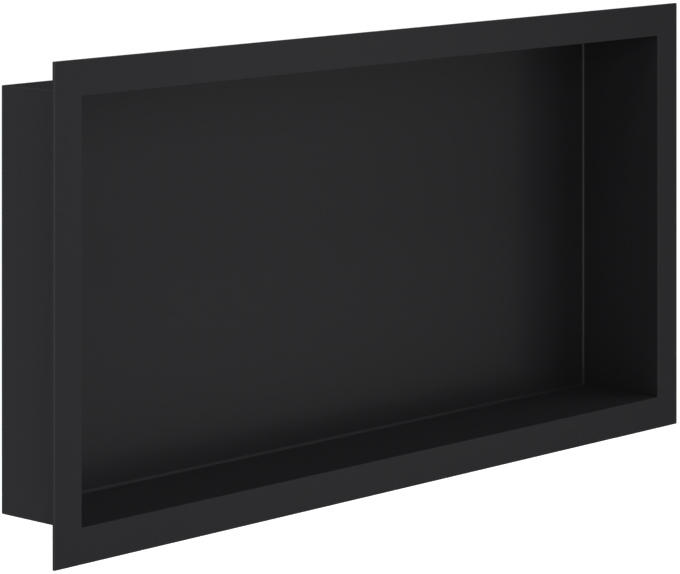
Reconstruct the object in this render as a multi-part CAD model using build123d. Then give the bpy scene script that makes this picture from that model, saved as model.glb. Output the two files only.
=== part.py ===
"""Shower niche insert: a shallow open box of sheet steel with a flat flange round its mouth.

Sizes are in millimetres. The origin is at the middle of the mouth, in the plane of the
flange's back face, which is the face of the finished wall. Seen from the room, +X runs to
the right, +Y runs into the wall and +Z runs up.
"""

import os

from build123d import *

# Driving dimensions
flange_width = 600.0  # outside of the flange, left to right
flange_height = 300.0  # outside of the flange, bottom to top
overall_depth = 70.0  # front of the flange to the rear of the back panel
flange_overhang = 20.0  # lap of the flange over the wall, past the outside of the box
sheet = 2.0  # thickness of the steel
fold_inside_radius = 0.8  # inside of the four folds round the back panel
fold_outside_radius = 1.5  # outside of those folds, tight because the sheet is grooved to fold
mouth_edge_radius = 0.5  # eased edge where the face of the flange turns into the walls
rim_edge_radius = 0.3  # eased cut edge round the outside of the flange
flange_corner_radius = 0.5  # deburred outer corners of the flange

# Where the sheet lies, front to back
flange_front = -sheet
wall_plane = 0.0
panel_rear = flange_front + overall_depth
panel_front = panel_rear - sheet

# What follows from the sheet and its folds
box_width = flange_width - 2 * flange_overhang
box_height = flange_height - 2 * flange_overhang
mouth_width = box_width - 2 * sheet
mouth_height = box_height - 2 * sheet


def block(width, height, front, rear):
    """A block centred on the mouth that runs into the wall from front to rear."""
    middle = (front + rear) / 2
    return Pos(0, middle, 0) * Box(width, rear - front, height)


def folded_block(width, height, front, rear, radius):
    """A block whose four rear edges are rolled over by a radius; its other edges stay sharp."""
    plain = block(width, height, front, rear)
    rear_edges = plain.faces().sort_by(Axis.Y)[-1].edges()
    return fillet(rear_edges, radius)


def flange_plate():
    """The flat frame before its mouth is cut, with its corners and cut edges eased."""
    plate = block(flange_width, flange_height, flange_front, wall_plane)
    plate = fillet(plate.edges().filter_by(Axis.Y), flange_corner_radius)
    faces = plate.faces().sort_by(Axis.Y)
    rim = faces[0].edges() + faces[-1].edges()
    return fillet(rim, rim_edge_radius)


def niche_insert():
    """Flange and folded box in one, hollowed by the cavity and eased round the mouth."""
    outside = folded_block(box_width, box_height, flange_front, panel_rear, fold_outside_radius)
    cavity = folded_block(mouth_width, mouth_height, flange_front, panel_front, fold_inside_radius)
    shell = flange_plate() + outside - cavity
    front_face = shell.faces().sort_by(Axis.Y)[0]
    return fillet(front_face.inner_wires()[0].edges(), mouth_edge_radius)


os.makedirs("parts", exist_ok=True)
niche = niche_insert()
export_step(niche, "parts/niche_insert.step")
print("niche_insert volume", round(niche.volume), "mm3, size", niche.bounding_box().size)
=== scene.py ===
# %% [markdown]
# # A matt black shower niche
# A shower niche is a shallow steel box that is let into a tiled wall, with a flat flange that laps
# the tiles round its mouth. This lesson dresses one: the fixed frame gives the real sizes, and the
# cells below give it a smooth shell, a powder coat, studio light and the photograph's own view.

# %% Load the frame
import math

import bpy
import numpy as np
from mathutils import Matrix, Vector


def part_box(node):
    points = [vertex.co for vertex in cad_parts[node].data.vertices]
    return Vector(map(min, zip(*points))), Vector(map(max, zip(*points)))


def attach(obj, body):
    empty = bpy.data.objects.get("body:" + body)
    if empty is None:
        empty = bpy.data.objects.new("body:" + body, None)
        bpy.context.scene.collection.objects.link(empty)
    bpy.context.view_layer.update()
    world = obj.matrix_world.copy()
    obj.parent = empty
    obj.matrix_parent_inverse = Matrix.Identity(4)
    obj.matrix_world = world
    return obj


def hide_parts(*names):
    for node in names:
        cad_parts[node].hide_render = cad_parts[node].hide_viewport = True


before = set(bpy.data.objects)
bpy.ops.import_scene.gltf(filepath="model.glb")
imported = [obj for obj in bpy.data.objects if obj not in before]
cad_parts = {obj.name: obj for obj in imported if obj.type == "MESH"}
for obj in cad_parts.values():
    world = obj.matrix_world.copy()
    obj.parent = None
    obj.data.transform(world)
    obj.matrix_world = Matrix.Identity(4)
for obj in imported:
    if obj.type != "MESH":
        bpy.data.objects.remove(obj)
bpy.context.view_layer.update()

# %% [markdown]
# ## The section of the sheet
# The real box is folded from one blank of 2 mm steel. Its four walls come up from the back panel, so
# a small round runs along each fold. The light lines in the photograph put the inside of that round
# at about 2 mm, which is more than the solid has, so it is made that large here. A flange is welded
# round the mouth and ground flush, and every cut edge is eased before it is coated.
#
# One section through wall and flange says all of that. A bevel modifier on a box could round the
# edges, but by one width. Instead the section is written as the six arcs where it turns, and the
# straight runs between them need no points of their own. Each arc also says how far the soft coat
# flows on it, which the shine needs later.

# %% Sizes of the section
MM = 0.001
low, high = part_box("niche_insert")
flange_front, panel_rear = low[1], high[1]
sheet = -flange_front  # the flange's back face lies in the plane y = 0
flange_lap = 20 * MM  # flange past the outside of the box
rim = flange_lap + sheet  # flange past the mouth
mouth_half_width = high[0] - rim
mouth_half_height = high[2] - rim
fold_inside = 2.0 * MM  # by the light lines in the photograph; the solid has 0.8
fold_outside = 1.5 * MM  # tight, as on a sheet that is grooved before it is folded
mouth_ease = 0.5 * MM
rim_ease = 0.3 * MM
weld_fillet = 0.4 * MM  # behind, where the flange meets the box
print("mouth, mm:", round(2 * mouth_half_width / MM, 1), "x", round(2 * mouth_half_height / MM, 1))

# %% The arcs of the section
FOLD_STEPS, EDGE_STEPS = 16, 8
FOLD_FLOW, MOUTH_FLOW, RIM_FLOW = 0.56, 0.68, 1.0  # 0 is a coat that lies still


def arc(centre, radius, start, end, steps, hollow=False, flow=0.0):
    """Points, outward normals and flow of the coat on an arc from start to end degrees.

    A point is the centre plus the radius times (cos, sin); the normal is that same direction,
    turned round on a hollow arc, where the open side faces the centre. The flow swells as half a
    sine wave from nothing at both ends, so that the coat lies still on the flat runs between arcs.
    """
    share = np.linspace(0, 1, steps + 1)
    turn = np.radians(start + (end - start) * share)
    ray = np.stack([np.cos(turn), np.sin(turn)], axis=1)
    normal = -ray if hollow else ray
    return np.asarray(centre) + radius * ray, normal, flow * np.sin(math.pi * share)


def sheet_section():
    """The section as (outward from the mouth's edge, depth), from the panel's front to its rear.

    It turns at the inner fold, the mouth, the rim's front and back, the weld and the outer fold.
    """
    inner = panel_rear - sheet - fold_inside
    outer = panel_rear - fold_outside
    turns = [
        arc((-fold_inside, inner), fold_inside, 90, 0, FOLD_STEPS, hollow=True, flow=FOLD_FLOW),
        arc((mouth_ease, flange_front + mouth_ease), mouth_ease, 180, 270, EDGE_STEPS, flow=MOUTH_FLOW),
        arc((rim - rim_ease, flange_front + rim_ease), rim_ease, 270, 360, EDGE_STEPS, flow=RIM_FLOW),
        arc((rim - rim_ease, -rim_ease), rim_ease, 0, 90, EDGE_STEPS, flow=RIM_FLOW),
        arc((sheet + weld_fillet, weld_fillet), weld_fillet, 270, 180, EDGE_STEPS, hollow=True),
        arc((sheet - fold_outside, outer), fold_outside, 0, 90, FOLD_STEPS),
    ]
    return [np.concatenate(values) for values in zip(*turns)]


section, section_normal, section_flow = sheet_section()
print("section points:", len(section))

# %% [markdown]
# ## The section carried round the mouth
# Every point of the section runs once round the mouth as a rectangle, larger or smaller by its own
# offset, so the shell is a surface of two parameters: along the section, and round the mouth. A
# curve with a bevel object could sweep the section too, but it would pinch it at the corners. The
# four corners are welded seams. They get a hair of radius, because a coat never lies on a truly
# sharp edge, and because the light then has a place to turn.
#
# On a niche that hangs upright in the oven, the soft coat runs down the upright folds and edges and
# lies still on the level ones. So its flow goes with the squared cosine of the way that a side faces.

# %% The path round the mouth
seam_radius = 0.4 * MM
SEAM_STEPS = 5
quarter = np.linspace(0, 90, SEAM_STEPS + 1)
round_angle = np.radians(np.concatenate([start + quarter for start in (0, 90, 180, 270)]))
side_x = np.repeat([1.0, -1.0, -1.0, 1.0], SEAM_STEPS + 1)
side_z = np.repeat([1.0, 1.0, -1.0, -1.0], SEAM_STEPS + 1)
side_flow = np.cos(round_angle) ** 2
print("points round the mouth:", len(round_angle))


# %% The sweep
def carried_round(points, normals):
    """The section swept round the mouth: positions and unit normals, each (section, path, 3).

    Across: side * (half width + offset - seam radius) + seam radius * cos. Up is the same with the
    half height and sin, and depth is the section's own. The normal's outward share turns with the
    path and its depth share stays.
    """
    offset, depth = points[:, :1], points[:, 1:]
    across = side_x * (mouth_half_width + offset - seam_radius) + seam_radius * np.cos(round_angle)
    up = side_z * (mouth_half_height + offset - seam_radius) + seam_radius * np.sin(round_angle)
    place = [across, np.broadcast_to(depth, across.shape), up]
    outward, inward = normals[:, :1], np.broadcast_to(normals[:, 1:], across.shape)
    facing = [outward * np.cos(round_angle), inward, outward * np.sin(round_angle)]
    return np.stack(place, axis=2), np.stack(facing, axis=2)


grid_place, grid_normal = carried_round(section, section_normal)
print("grid, along the section and round the mouth:", grid_place.shape[:2])

# %% [markdown]
# ## From grid to mesh
# The grid is no mesh yet: neighbours are joined into quads, and its two open ends are closed by the
# flat faces of the back panel. Blender would then guess each normal from the faces about it, and
# the wide flats beside the narrow arcs would look swollen. A Weighted Normal modifier mends that in
# part, but the sweep knows its normals exactly, so they are handed over with the mesh. The coat's
# flow goes along as an attribute of the points.


# %% The shell
def ring_quads(rows, columns):
    """Corner numbers of the quads between neighbouring rows of a grid that closes on itself."""
    here = np.arange(rows * columns).reshape(rows, columns)
    beside = np.roll(here, -1, axis=1)
    return np.stack([here[:-1], here[1:], beside[1:], beside[:-1]], axis=2).reshape(-1, 4)


def niche_shell():
    """The swept grid with its two open ends closed by the flat faces of the back panel."""
    rows, columns = grid_place.shape[:2]
    quads = ring_quads(rows, columns)
    panel_face = list(range(columns))
    panel_back = list(range((rows - 1) * columns, rows * columns))
    mesh = bpy.data.meshes.new("niche_shell")
    mesh.from_pydata(grid_place.reshape(-1, 3), [], quads.tolist() + [panel_face, panel_back[::-1]])
    mesh.update()
    mesh.polygons.foreach_set("use_smooth", np.ones(len(mesh.polygons), dtype=bool))
    mesh.normals_split_custom_set_from_vertices(grid_normal.reshape(-1, 3))
    flow = mesh.attributes.new("coat_flow", "FLOAT", "POINT")
    flow.data.foreach_set("value", np.outer(section_flow, side_flow).ravel())
    return bpy.data.objects.new("niche_shell", mesh)


shell = niche_shell()
bpy.context.scene.collection.objects.link(shell)
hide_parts("niche_insert")
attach(shell, "root")
print("shell:", len(shell.data.vertices), "points,", len(shell.data.polygons), "faces")


# %% Is the shell closed and the right way out?
def enclosed_volume(mesh):
    """Sum over triangles of a . (b x c) / 6, which is positive when the faces point outwards."""
    mesh.calc_loop_triangles()
    points = np.empty(len(mesh.vertices) * 3)
    mesh.vertices.foreach_get("co", points)
    corners = np.empty(len(mesh.loop_triangles) * 3, dtype=np.int32)
    mesh.loop_triangles.foreach_get("vertices", corners)
    a, b, c = points.reshape(-1, 3)[corners.reshape(-1, 3)].swapaxes(0, 1)
    return float(np.einsum("ij,ij->", a, np.cross(b, c)) / 6)


CUBIC_CM = (10 * MM) ** 3
print("volume of the shell, cm3:", round(enclosed_volume(shell.data) / CUBIC_CM, 2))

# %% [markdown]
# ## The powder coat
# Matt black powder is sprayed on dry and baked until it flows together. It never levels quite flat:
# it keeps a faint orange peel a millimetre or two across, and the spray leaves patches a few
# centimetres across that are a shade drier than the rest. An image of it would repeat and need
# unwrapping, so each is noise in the object's own coordinates, from one small group placed twice.

# %% A ripple group
FINER_LAYERS = 2.0  # each with cells half as wide as the one before


def ripple_group():
    """Fractal noise with a given number of cells to the metre, as a value between 0 and 1."""
    group = bpy.data.node_groups.new("coat_ripple", "ShaderNodeTree")
    group.interface.new_socket("Place", in_out="INPUT", socket_type="NodeSocketVector")
    group.interface.new_socket("Cells per metre", in_out="INPUT", socket_type="NodeSocketFloat")
    group.interface.new_socket("Share", in_out="OUTPUT", socket_type="NodeSocketFloat")
    inlet = group.nodes.new("NodeGroupInput")
    outlet = group.nodes.new("NodeGroupOutput")
    noise = group.nodes.new("ShaderNodeTexNoise")
    noise.inputs["Detail"].default_value = FINER_LAYERS
    group.links.new(inlet.outputs["Place"], noise.inputs["Vector"])
    group.links.new(inlet.outputs["Cells per metre"], noise.inputs["Scale"])
    group.links.new(noise.outputs["Fac"], outlet.inputs["Share"])
    return group


ripple = ripple_group()
print("group sockets:", [item.name for item in ripple.interface.items_tree])


# %% A coat to fill
def fed_sockets(material):
    """Names of the shader's sockets that other nodes feed."""
    shader = material.node_tree.nodes["Principled BSDF"]
    return [socket.name for socket in shader.inputs if socket.is_linked]


coat = bpy.data.materials.new("black_coat")
coat.use_nodes = True
shell.data.materials.append(coat)
print("bare coat, fed sockets:", fed_sockets(coat))


# %% Nodes for a range and a ripple
def mapped(tree, value, low_in, high_in, low_out, high_out):
    """A value carried from one range to another, and held at its ends."""
    node = tree.nodes.new("ShaderNodeMapRange")
    ends = {"From Min": low_in, "From Max": high_in, "To Min": low_out, "To Max": high_out}
    for socket, end in ends.items():
        node.inputs[socket].default_value = end
    tree.links.new(value, node.inputs["Value"])
    return node.outputs["Result"]


def placed_ripple(tree, cells):
    """The ripple group at one size, in the object's own coordinates."""
    place = tree.nodes.new("ShaderNodeTexCoord")
    node = tree.nodes.new("ShaderNodeGroup")
    node.node_tree = ripple
    node.inputs["Cells per metre"].default_value = cells
    tree.links.new(place.outputs["Object"], node.inputs["Place"])
    return node.outputs["Share"]


PATCH_CELLS = 22  # to the metre
PEEL_CELLS = 600
patch = placed_ripple(coat.node_tree, PATCH_CELLS)
peel = placed_ripple(coat.node_tree, PEEL_CELLS)
print("patches and peel, mm across:", round(1 / PATCH_CELLS / MM, 1), round(1 / PEEL_CELLS / MM, 1))

# %% Pigment with drier patches
PIGMENT = (0.0192, 0.0192, 0.0211, 1)
DRY_PIGMENT = (0.0197, 0.0197, 0.0216, 1)
EVEN_ROUGHNESS, DRY_ROUGHNESS = 0.66, 0.74  # for viewers that give the pigment a gloss all the same
NOISE_LOW, NOISE_HIGH = 0.2, 0.8  # nearly all of the noise lies between


def add_pigment(tree):
    """Near-black pigment that is a shade paler and rougher in the drier patches."""
    shader = tree.nodes["Principled BSDF"]
    shade = tree.nodes.new("ShaderNodeMix")
    shade.data_type = "RGBA"
    shade.inputs["A"].default_value = PIGMENT
    shade.inputs["B"].default_value = DRY_PIGMENT
    tree.links.new(patch, shade.inputs["Factor"])
    tree.links.new(shade.outputs["Result"], shader.inputs["Base Color"])
    dryness = mapped(tree, patch, NOISE_LOW, NOISE_HIGH, EVEN_ROUGHNESS, DRY_ROUGHNESS)
    tree.links.new(dryness, shader.inputs["Roughness"])


add_pigment(coat.node_tree)
print("with the pigment, fed sockets:", fed_sockets(coat))

# %% Orange peel
PEEL_HEIGHT = 0.01 * MM


def add_peel(tree):
    """The finer ripple as a height, which tips the normal of the pigment a little."""
    bump = tree.nodes.new("ShaderNodeBump")
    bump.inputs["Distance"].default_value = PEEL_HEIGHT
    tree.links.new(peel, bump.inputs["Height"])
    tree.links.new(bump.outputs["Normal"], tree.nodes["Principled BSDF"].inputs["Normal"])


add_peel(coat.node_tree)
print("with the peel, fed sockets:", fed_sockets(coat))

# %% [markdown]
# ## The skin on the coat
# The shine of powder paint lies in a thin skin of clear resin over the pigment. A matting agent
# breaks that skin up, so that only a small share of it still mirrors anything. The pigment's own
# specular level could be turned down to that share, but an exported model keeps only one such level
# for the whole piece. So the shader's Coat is the skin, its weight is the share, which may change
# over the surface, and the pigment below has no gloss of its own.
#
# Two things change the share. Seen along the surface, the grains hide the skin between them; without
# that fade the top of the box would turn pale. And the photograph shows fine light lines in the
# upright folds and along upright edges, as if the soft coat had run down there and its skin had
# closed, so the skin shines more where the coat flows.

# %% A broken skin
SKIN = 0.072  # share of the skin that shines on the flat runs, seen head on
FLOWED_SKIN = 5.0  # times as much where the coat flowed most
SKIN_ROUGHNESS = 0.29
FADE_START, FADE_END = 0.45, 0.86  # 0 is seen head on, 1 along the surface


def add_skin(tree):
    """All of the gloss: a share that fades along the surface, times more where the coat flowed."""
    shader = tree.nodes["Principled BSDF"]
    shader.inputs["Specular IOR Level"].default_value = 0.0
    facing = tree.nodes.new("ShaderNodeLayerWeight").outputs["Facing"]
    flow = tree.nodes.new("ShaderNodeAttribute")
    flow.attribute_name = "coat_flow"
    share = tree.nodes.new("ShaderNodeMath")
    share.operation = "MULTIPLY"
    tree.links.new(mapped(tree, facing, FADE_START, FADE_END, SKIN, 0.0), share.inputs[0])
    tree.links.new(mapped(tree, flow.outputs["Fac"], 0.0, 1.0, 1.0, FLOWED_SKIN), share.inputs[1])
    tree.links.new(share.outputs[0], shader.inputs["Coat Weight"])
    shader.inputs["Coat Roughness"].default_value = SKIN_ROUGHNESS


add_skin(coat.node_tree)
print("with the skin, fed sockets:", fed_sockets(coat))

# %% [markdown]
# ## The floor
# The photograph is a cut-out on white, so the floor must read as white and still take a shadow. A
# floor that only glows would lose the shadow, and one that is only painted turns grey where the
# light falls off. So the eye sees paint with a share of glow: mostly paint near the niche, where the
# shadow lies, and full white further off. Light that bounces meets plain pale paint everywhere, so
# the glow puts no more light on the niche.

# %% A round floor
FLOOR_DROP = 0.25  # metres below the flange's lower edge
FLOOR_RADIUS = 8.0


def floor_disc(rings=12, spokes=96):
    """A flat disc on a polar grid: radius times (cos, sin) at one height, closed at its middle."""
    angle = np.linspace(0, 2 * math.pi, spokes, endpoint=False)
    reach = np.linspace(0, FLOOR_RADIUS, rings + 1)[1:, None]
    height = np.full((rings, spokes), low[2] - FLOOR_DROP)
    grid = np.stack([reach * np.cos(angle), reach * np.sin(angle), height], axis=2)
    mesh = bpy.data.meshes.new("floor")
    middle = list(range(spokes))
    mesh.from_pydata(grid.reshape(-1, 3), [], ring_quads(rings, spokes).tolist() + [middle])
    mesh.update()
    return bpy.data.objects.new("floor", mesh)


floor = floor_disc()
bpy.context.scene.collection.objects.link(floor)
print("floor:", len(floor.data.polygons), "faces at height", round(floor.data.vertices[0].co.z, 3))

# %% Shares of paint and glow
PALE = (0.8, 0.8, 0.8, 1)
NEAR, FAR = 0.50, 0.88  # metres from the origin: shaded within, plain white beyond
NEAR_PAINT, FAR_PAINT = 0.62, 0.3
NEAR_GLOW, FAR_GLOW = 0.25, 1.0
print("floor shaded within", NEAR, "m of the origin and white beyond", FAR, "m")


# %% White to the eye
def seen_directly(tree):
    """A mask that is 1 for camera, mirror and see-through rays, and 0 for light that bounces."""
    path = tree.nodes.new("ShaderNodeLightPath")
    mask = path.outputs["Is Camera Ray"]
    for kind in ("Is Glossy Ray", "Is Transmission Ray"):
        either = tree.nodes.new("ShaderNodeMath")
        either.operation = "MAXIMUM"
        tree.links.new(mask, either.inputs[0])
        tree.links.new(path.outputs[kind], either.inputs[1])
        mask = either.outputs[0]
    return mask


def pale_floor():
    """Pale paint for light that bounces; to the eye, paint that gives way to glow further off."""
    paint = bpy.data.materials.new("pale_floor")
    paint.use_nodes = True
    tree = paint.node_tree
    nodes, links = tree.nodes, tree.links
    nodes.remove(nodes["Principled BSDF"])
    reach = nodes.new("ShaderNodeVectorMath")
    reach.operation = "LENGTH"
    links.new(nodes.new("ShaderNodeTexCoord").outputs["Object"], reach.inputs[0])
    distance = reach.outputs["Value"]
    plain = nodes.new("ShaderNodeBsdfDiffuse")
    plain.inputs["Color"].default_value = PALE
    shaded = nodes.new("ShaderNodeBsdfDiffuse")
    links.new(mapped(tree, distance, NEAR, FAR, NEAR_PAINT, FAR_PAINT), shaded.inputs["Color"])
    glow = nodes.new("ShaderNodeEmission")
    links.new(mapped(tree, distance, NEAR, FAR, NEAR_GLOW, FAR_GLOW), glow.inputs["Strength"])
    to_the_eye = nodes.new("ShaderNodeAddShader")
    links.new(shaded.outputs[0], to_the_eye.inputs[0])
    links.new(glow.outputs[0], to_the_eye.inputs[1])
    choose = nodes.new("ShaderNodeMixShader")
    links.new(seen_directly(tree), choose.inputs[0])
    links.new(plain.outputs[0], choose.inputs[1])
    links.new(to_the_eye.outputs[0], choose.inputs[2])
    links.new(choose.outputs[0], nodes["Material Output"].inputs["Surface"])
    return paint


floor.data.materials.append(pale_floor())
print("nodes of the floor:", len(floor.data.materials[0].node_tree.nodes))

# %% [markdown]
# ## The room
# The background is white too, but a world that bright would flood the niche from all round and wash
# its folds out. Light Path tells two kinds of ray apart: one from the eye, or mirrored by the coat,
# finds white, and light that falls on the niche comes from a faint dome.

# %% A white room
WHITE = (1, 1, 1, 1)
BACKDROP = 1.0  # strength to the eye, plain white
DOME = 0.05  # strength to the niche


def white_room():
    """A faint dome that lights the niche, and that the eye sees as plain white."""
    world = bpy.data.worlds.new("white_room")
    world.use_nodes = True
    tree = world.node_tree
    nodes, links = tree.nodes, tree.links
    dome = nodes["Background"]
    dome.inputs["Color"].default_value = WHITE
    dome.inputs["Strength"].default_value = DOME
    backdrop = nodes.new("ShaderNodeBackground")
    backdrop.inputs["Color"].default_value = WHITE
    backdrop.inputs["Strength"].default_value = BACKDROP
    choose = nodes.new("ShaderNodeMixShader")
    links.new(seen_directly(tree), choose.inputs[0])
    links.new(dome.outputs[0], choose.inputs[1])
    links.new(backdrop.outputs[0], choose.inputs[2])
    links.new(choose.outputs[0], nodes["World Output"].inputs["Surface"])
    return world


bpy.context.scene.world = white_room()
print("strength of the room to the niche:", DOME, "and to the eye:", BACKDROP)

# %% [markdown]
# ## Six softboxes
# Black paint shows its light twice: the pigment answers to all of it, and the skin mirrors what
# stands in one direction. One great lamp would leave all faces alike, so each softbox has one job.
# The key, before the niche on the left, gives the pigment its tone. The panel on the right is what
# the flange and the back panel mirror, and past its right edge the flange grows darker. A strip
# above the mouth reaches the floor of the niche. One box stands by each side wall, and one behind
# lights the top and the rear.

# %% Place the softboxes
INTO_WALL = (0, 1, 0)
RIGHTWARDS = (1, 0, 0)
LEFTWARDS = (-1, 0, 0)
DOWN = (0, 0, -1)
DOWN_AND_FORWARD = (0, -0.6, -0.8)


def softbox(name, place, facing, width, height, brightness):
    """A lamp unseen by the camera, with a face so many times as bright as white.

    Its power is pi times its area times that brightness.
    """
    lamp = bpy.data.lights.new(name, "AREA")
    lamp.shape = "RECTANGLE"
    lamp.size, lamp.size_y = width, height
    lamp.energy = math.pi * width * height * brightness
    holder = bpy.data.objects.new(name, lamp)
    turn = Vector(facing).to_track_quat("-Z", "Y").to_matrix().to_4x4()
    holder.matrix_world = Matrix.Translation(place) @ turn
    holder.visible_camera = False
    bpy.context.scene.collection.objects.link(holder)
    return holder


softboxes = [
    softbox("key_softbox", (-0.65, -0.8, 0.225), INTO_WALL, width=0.7, height=1.15, brightness=3.25),
    softbox("front_panel", (0.85, -0.8, -0.1), INTO_WALL, width=0.6, height=0.6, brightness=2.7),
    softbox("top_strip", (0.4, -0.35, 1.0), DOWN, width=2.0, height=0.3, brightness=4.0),
    softbox("left_softbox", (-1.2, 0.4, 0.25), RIGHTWARDS, width=0.8, height=1.3, brightness=2.85),
    softbox("right_softbox", (1.2, 0.4, 0.25), LEFTWARDS, width=0.8, height=1.3, brightness=2.0),
    softbox("rear_softbox", (0, 0.8, 0.9), DOWN_AND_FORWARD, width=1.4, height=1.0, brightness=3.3),
]
for lamp in softboxes:
    print(lamp.name, round(lamp.data.energy, 1), "W")

# %% [markdown]
# ## The photograph's view
# In the photograph every upright edge is exactly upright, yet the eye looks down on the niche, as from
# a level camera with a lowered lens, which is how tall buildings are taken. A large lens shift would
# follow the camera into every other view and push the niche out of the frame, so the same picture is
# made by leaning the camera's depth axis while its upright axis stays upright.

# %% Camera
PHOTO_WIDTH, PHOTO_HEIGHT = 680, 574  # pixels
SENSOR = 36.0  # millimetres across the photograph's width
focal_pixels = 3530.2  # from the eye straight to the picture's plane, in its pixels
horizon_row = -275.1  # where level lines meet, in rows down from the photograph's top edge
heading = math.radians(47.105)  # turned from straight into the wall towards the right
eye = (-1.7085, -1.5401, 0.3484)  # metres


def leaning_camera():
    """A camera with leaning axes: right, straight up, and from the picture's middle back to the eye.

    The last is the drop from the horizon times up less the focal length times ahead, made a unit.
    """
    drop = PHOTO_HEIGHT / 2 - horizon_row
    reach = math.hypot(focal_pixels, drop)
    right = Vector((math.cos(heading), -math.sin(heading), 0))
    ahead = Vector((math.sin(heading), math.cos(heading), 0))
    upright = Vector((0, 0, 1))
    back = (drop * upright - focal_pixels * ahead) / reach
    columns = Matrix((right, upright, back)).transposed().to_4x4()
    lens = bpy.data.cameras.new("photo_view")
    lens.sensor_width = SENSOR
    lens.lens = reach / PHOTO_WIDTH * SENSOR
    camera = bpy.data.objects.new("photo_view", lens)
    stand = bpy.data.objects.new("camera_stand", None)
    camera.parent = stand
    camera.matrix_parent_inverse = Matrix.Translation(eye) @ columns
    for thing in (stand, camera):
        bpy.context.scene.collection.objects.link(thing)
    return camera


camera = leaning_camera()
bpy.context.scene.camera = camera
bpy.context.scene.view_settings.view_transform = "Standard"
print("lens, mm:", round(camera.data.lens, 2))
